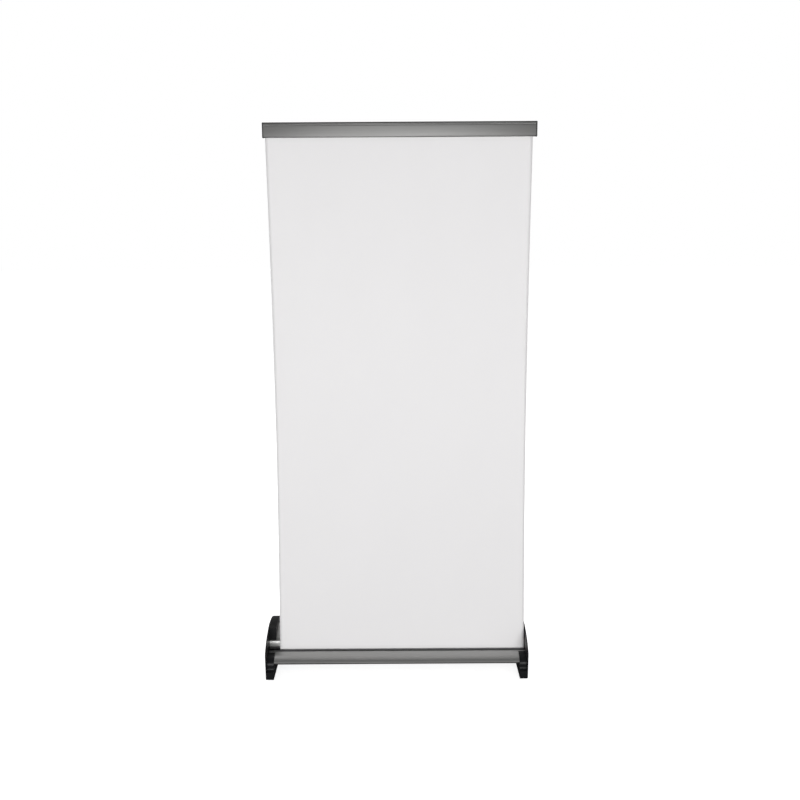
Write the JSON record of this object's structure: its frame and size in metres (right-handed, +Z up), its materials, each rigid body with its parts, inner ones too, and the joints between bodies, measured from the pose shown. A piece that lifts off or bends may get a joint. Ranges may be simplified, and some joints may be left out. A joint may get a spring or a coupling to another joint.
{
  "type": "roll-up banner stand",
  "caption": "Floor base with black end caps and a spring roller, a blank film banner drawn up to a clamping rail, and a telescopic pole behind it.",
  "frame": {"origin": "middle of the object's footprint, on the floor", "axes": "+X to the right along the banner, +Y to the back (the pole's side), +Z up"},
  "size_m": [1.063, 0.3052, 2.179],
  "materials": {
    "end_cap_plastic": "satin-gloss black moulded plastic",
    "fitting_plastic": "matt black moulded plastic",
    "guide_strip": "matt black extruded strip",
    "rubber": "matt black rubber",
    "shell_aluminium": "satin silver anodised, fine lengthwise lines",
    "tray_aluminium": "mill-finish aluminium",
    "rail_aluminium": "satin silver anodised, fine lengthwise lines",
    "roller_aluminium": "mill-finish tube",
    "pole_aluminium": "satin anodised tube",
    "screw_steel": "zinc-plated steel",
    "spindle_steel": "turned steel",
    "spring_steel": "oiled spring wire",
    "banner_film": "blank pale grey satin film"
  },
  "bodies": {
    "base": {"banner_panel": "banner_film", "base_tray": "tray_aluminium", "front_shell": "shell_aluminium", "left_bearing_block": "fitting_plastic", "left_cap_screw_belly": "screw_steel", "left_cap_screw_front": "screw_steel", "left_cap_screw_rear": "screw_steel", "left_cap_screw_top": "screw_steel", "left_end_cap": "end_cap_plastic", "left_front_foot_pad": "rubber", "left_rear_foot_pad": "rubber", "pole_lower_bush": "fitting_plastic", "pole_lower_tube": "pole_aluminium", "pole_socket": "fitting_plastic", "rear_shell": "shell_aluminium", "right_bearing_block": "fitting_plastic", "right_cap_screw_belly": "screw_steel", "right_cap_screw_front": "screw_steel", "right_cap_screw_rear": "screw_steel", "right_cap_screw_top": "screw_steel", "right_end_cap": "end_cap_plastic", "right_front_foot_pad": "rubber", "right_rear_foot_pad": "rubber", "slot_guide_front": "guide_strip", "slot_guide_rear": "guide_strip", "socket_screw_left": "screw_steel", "socket_screw_right": "screw_steel", "spring_spindle": "spindle_steel", "torsion_spring": "spring_steel"},
    "roller": {"roller_tube": "roller_aluminium", "idler_plug": "fitting_plastic", "drive_plug": "fitting_plastic", "spring_anchor": "fitting_plastic", "banner_roll": "banner_film"},
    "lower_collar": {"lower_lock_collar": "fitting_plastic"},
    "pole_middle": {"pole_middle_tube": "pole_aluminium", "pole_middle_bush": "fitting_plastic"},
    "upper_collar": {"upper_lock_collar": "fitting_plastic"},
    "pole_top": {"pole_top_tube": "pole_aluminium", "pole_top_bush": "fitting_plastic", "pole_tip": "fitting_plastic", "rail_back": "rail_aluminium", "rail_grip_strip": "rubber", "rail_end_cap_left": "fitting_plastic", "rail_end_cap_right": "fitting_plastic", "rail_pole_bracket": "fitting_plastic", "bracket_screw_left": "screw_steel", "bracket_screw_right": "screw_steel"},
    "rail_jaw": {"rail_front_jaw": "rail_aluminium"}
  },
  "joints": [
    {"name": "pole_middle_slide", "type": "slide", "parent": "base", "child": "pole_middle", "axis": [0, 0, 1], "range_m": [-0.6, 0], "deforming": ["banner_panel"]},
    {"name": "pole_top_slide", "type": "slide", "parent": "pole_middle", "child": "pole_top", "axis": [0, 0, 1], "range_m": [-0.6, 0]},
    {"name": "roller_turn", "type": "hinge", "parent": "base", "child": "roller", "pos_m": [0, -0.02356, 0.055], "axis": [1, 0, 0], "range_deg": [0, 3360]},
    {"name": "lower_collar_twist", "type": "hinge", "parent": "base", "child": "lower_collar", "pos_m": [-0.004, -0.00336, 0.833], "axis": [0, 0, 1], "range_deg": [0, 90]},
    {"name": "upper_collar_twist", "type": "hinge", "parent": "pole_middle", "child": "upper_collar", "pos_m": [-0.004, -0.00336, 1.493], "axis": [0, 0, 1], "range_deg": [0, 90]},
    {"name": "rail_jaw_open", "type": "hinge", "parent": "pole_top", "child": "rail_jaw", "pos_m": [0.02, -0.05236, 2.1725], "axis": [1, 0, 0], "range_deg": [-45, 0]}
  ],
  "couplings": [
    {"joint": "pole_top_slide", "follows": "pole_middle_slide", "ratio": 1},
    {"joint": "roller_turn", "follows": "pole_middle_slide", "rad_per_m": -97.561}
  ]
}
